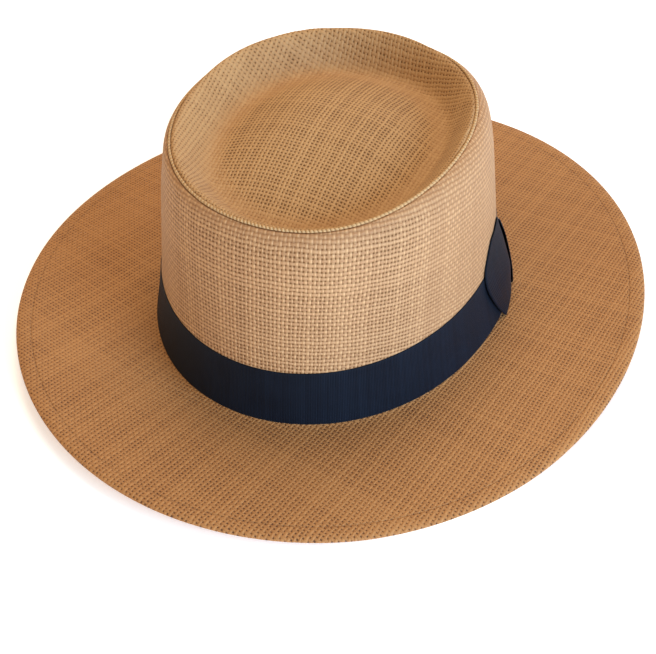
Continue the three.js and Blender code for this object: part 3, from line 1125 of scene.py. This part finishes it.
class OBJECT_OT_straw_hat_bow(bpy.types.Operator):
    """Flat bow: a loop to the front, a loop to the rear and the knot between them"""

    bl_idname = "object.straw_hat_bow"
    bl_label = "Bow"

    def execute(self, context):
        sizes, colours = hat_settings(context)
        ribbon = ribbon_material("bow_ribbon", colours.ribbon_light, colours.ribbon_dark)
        front = self.loop("front_loop", KNOT_FRONT, -1, FRONT_GATHER, FRONT_LOOP, sizes.ribbon)
        rear = self.loop("rear_loop", KNOT_REAR, 1, REAR_GATHER, REAR_LOOP, sizes.ribbon)
        knot = self.knot(sizes.ribbon)
        meshes = {"bow_front_loop": front, "bow_rear_loop": rear, "bow_knot": knot}
        for name, mesh_data in meshes.items():
            piece = finish_object("ribbon_" + name, mesh_data, ribbon, sizes.rounding, sizes.ribbon)
            dress(piece, name)
        return {"FINISHED"}

    def loop(self, name, start, way, gather, levels, thickness):
        """One loop: out along the band from the knot, round its fold and back."""
        from_turn = math.radians(start)

        def place(along, across):
            low, high = levels[0][0], levels[-1][0]
            height = low + (high - low) * across
            reach, swelling, flare = (value_at(levels, height, column) for column in (1, 2, 3))
            leg = min(along, 1 - along) / (0.5 - FOLD_SHARE)
            share = min(1.0, leg)
            inner = BAND_CLEAR + flare * share**2
            outer = inner + 2 * thickness + BAND_CLEAR
            outer += swelling * value_at(LOOP_SECTION, share, 1)
            middle, half = (inner + outer) / 2, (outer - inner) / 2
            straight = reach - half
            if leg < 1:
                distance = (straight + BOW_TUCK) * leg - BOW_TUCK
                stand = inner if along < 0.5 else outer
            else:
                turned = math.pi * (along - 0.5 + FOLD_SHARE) / (2 * FOLD_SHARE)
                distance = straight + half * math.sin(turned)
                stand = middle - half * math.cos(turned)
            drawn = gather * value_at(LOOP_SECTION, share, 2)
            level = height + (BOW_MIDDLE - height) * drawn
            under_knot = knot_stand(level, 0.0 if way < 0 else 1.0) - thickness - BAND_CLEAR
            clear = clamped(distance / BOW_DIP)
            clear = clear**2 * (3 - 2 * clear)
            stand = stand * clear + max(BAND_CLEAR, min(stand, under_knot)) * (1 - clear)
            turn = from_turn + way * distance / BOW_ARC_RADIUS
            return self.over_band(turn, level, stand, thickness)

        return strip_mesh(name, LOOP_COLUMNS, LOOP_ROWS, place, 2 * levels[-1][1])

    def over_band(self, turn, height, stand, thickness):
        """Point that stands off the band, or off the straw above the band's top edge."""
        painted_groove_shade = clamped((height - BAND_HIGH) / ABOVE_BAND)
        step = (thickness + BAND_CLEAR) * (1 - painted_groove_shade)
        return ribbon_point(turn, height, step + stand)

    def knot(self, thickness):
        """The ribbon that holds the loops, from behind its foot up to behind its top."""
        low, high = KNOT_SECTION[0][0], KNOT_SECTION[-1][0]

        def place(along, across):
            rise = clamped((along - KNOT_TURN) / (1 - 2 * KNOT_TURN))
            height = (low + (high - low) * rise) * (1 - KNOT_SLANT * across)
            lifted = math.sqrt(clamped(min(along, 1 - along) / KNOT_TURN))
            stand = BAND_CLEAR + (knot_stand(height, across) - BAND_CLEAR) * lifted
            turn = math.radians(KNOT_FRONT + (KNOT_REAR - KNOT_FRONT) * across)
            return self.over_band(turn, height, stand, thickness)

        return strip_mesh("knot", KNOT_COLUMNS, KNOT_ROWS, place, high - low)


def knot_stand(height, across):
    """How far the knot's outer face stands off the band."""
    row = height / (1 - KNOT_SLANT * across)
    front = value_at(KNOT_SECTION, row, 1)
    return front + (value_at(KNOT_SECTION, row, 2) - front) * across


class OBJECT_OT_straw_hat_stage(bpy.types.Operator):
    """Pale floor, soft light and the camera"""

    bl_idname = "object.straw_hat_stage"
    bl_label = "Stage"

    def execute(self, context):
        settings = context.scene.straw_hat_stage
        self.floor(settings)
        self.sky(context, settings)
        self.lamp("window", settings.window, WINDOW_PLACE, settings.window_colour)
        self.lamp("overhead", settings.overhead, OVERHEAD_PLACE, settings.overhead_colour)
        self.camera(context)
        return {"FINISHED"}

    def floor(self, settings):
        """A plain floor at the hat's lowest point."""
        shape = bmesh.new()
        bmesh.ops.create_grid(shape, x_segments=1, y_segments=1, size=FLOOR_SIZE)
        mesh_data = bpy.data.meshes.new("floor")
        shape.to_mesh(mesh_data)
        shape.free()
        paint = Recipe("floor_paint")
        paint.fill(paint.surface.inputs["Base Color"], (*settings.floor, 1.0))
        paint.fill(paint.surface.inputs["Roughness"], FLOOR_ROUGHNESS)
        paint.fill(paint.surface.inputs["Emission Color"], GLOW_COLOUR)
        paint.fill(paint.surface.inputs["Emission Strength"], settings.floor_glow)
        finish_object("floor", mesh_data, paint.material, 0)

    def sky(self, context, settings):
        """Even light from all round."""
        world = bpy.data.worlds.new("sky")
        world.use_nodes = True
        background = world.node_tree.nodes["Background"]
        background.inputs["Color"].default_value = (*settings.sky_colour, 1.0)
        background.inputs["Strength"].default_value = settings.sky
        context.scene.world = world
        context.scene.view_settings.view_transform = "Standard"

    def lamp(self, name, power, place, colour):
        """A large square lamp that faces the hat."""
        light = bpy.data.lights.new(name, "AREA")
        light.energy = power
        light.color = colour
        light.size = LAMP_SIZE
        lamp = bpy.data.objects.new(name, light)
        bpy.context.collection.objects.link(lamp)
        lamp.location = place
        lamp.rotation_mode = "QUATERNION"
        lamp.rotation_quaternion = (-Vector(place)).to_track_quat("-Z", "Y")

    def camera(self, context):
        """The camera, in front of the hat, a little to its left and well above it."""
        level = Vector((math.cos(CAMERA_TURN), math.sin(CAMERA_TURN), 0.0))
        flat = Vector((level.y, -level.x, 0.0))
        back = flat * math.cos(CAMERA_RISE) + Vector((0.0, 0.0, math.sin(CAMERA_RISE)))
        upright = back.cross(level)
        right = level * math.cos(CAMERA_ROLL) + upright * math.sin(CAMERA_ROLL)
        up = upright * math.cos(CAMERA_ROLL) - level * math.sin(CAMERA_ROLL)
        eye = bpy.data.cameras.new("camera")
        eye.lens = CAMERA_LENS
        camera = bpy.data.objects.new("camera", eye)
        context.collection.objects.link(camera)
        place = Vector((0.0, 0.0, BRIM_LEVEL)) + back * CAMERA_DISTANCE
        place += right * CAMERA_SHIFT[0] + up * CAMERA_SHIFT[1]
        axes = Matrix((right, up, back)).transposed()
        camera.matrix_world = Matrix.Translation(place) @ axes.to_4x4()
        context.scene.camera = camera


class VIEW3D_PT_straw_hat(bpy.types.Panel):
    """Lists the hat's pieces, sizes and colours"""

    bl_label = "Straw Sun Hat"
    bl_idname = "VIEW3D_PT_straw_hat"
    bl_space_type = "VIEW_3D"
    bl_region_type = "UI"
    bl_category = "Hat"

    def draw(self, context):
        for group_name, group in GROUPS:
            for name in group.__annotations__:
                self.layout.prop(getattr(context.scene, group_name), name)
        for operator in OPERATORS:
            self.layout.operator(operator.bl_idname)


OPERATORS = (
    OBJECT_OT_straw_hat_brim,
    OBJECT_OT_straw_hat_crown_side,
    OBJECT_OT_straw_hat_crown_tip,
    OBJECT_OT_straw_hat_band,
    OBJECT_OT_straw_hat_bow,
    OBJECT_OT_straw_hat_stage,
)
GROUPS = (
    ("straw_hat_sizes", HatSizes),
    ("straw_hat_colours", HatColours),
    ("straw_hat_stage", StageSettings),
)


def register():
    """Adds the settings, the operators and the panel to Blender."""
    for name, group in GROUPS:
        bpy.utils.register_class(group)
        setattr(bpy.types.Scene, name, bpy.props.PointerProperty(type=group))
    for operator in (*OPERATORS, VIEW3D_PT_straw_hat):
        bpy.utils.register_class(operator)


def unregister():
    """Takes everything that register added out again."""
    for operator in reversed((*OPERATORS, VIEW3D_PT_straw_hat)):
        bpy.utils.unregister_class(operator)
    for name, group in reversed(GROUPS):
        delattr(bpy.types.Scene, name)
        bpy.utils.unregister_class(group)


def main():
    """Builds the hat and its stage."""
    register()
    bpy.ops.object.straw_hat_brim()
    bpy.ops.object.straw_hat_crown_side()
    bpy.ops.object.straw_hat_crown_tip()
    bpy.ops.object.straw_hat_band()
    bpy.ops.object.straw_hat_bow()
    bpy.ops.object.straw_hat_stage()


if __name__ == "__main__":
    main()
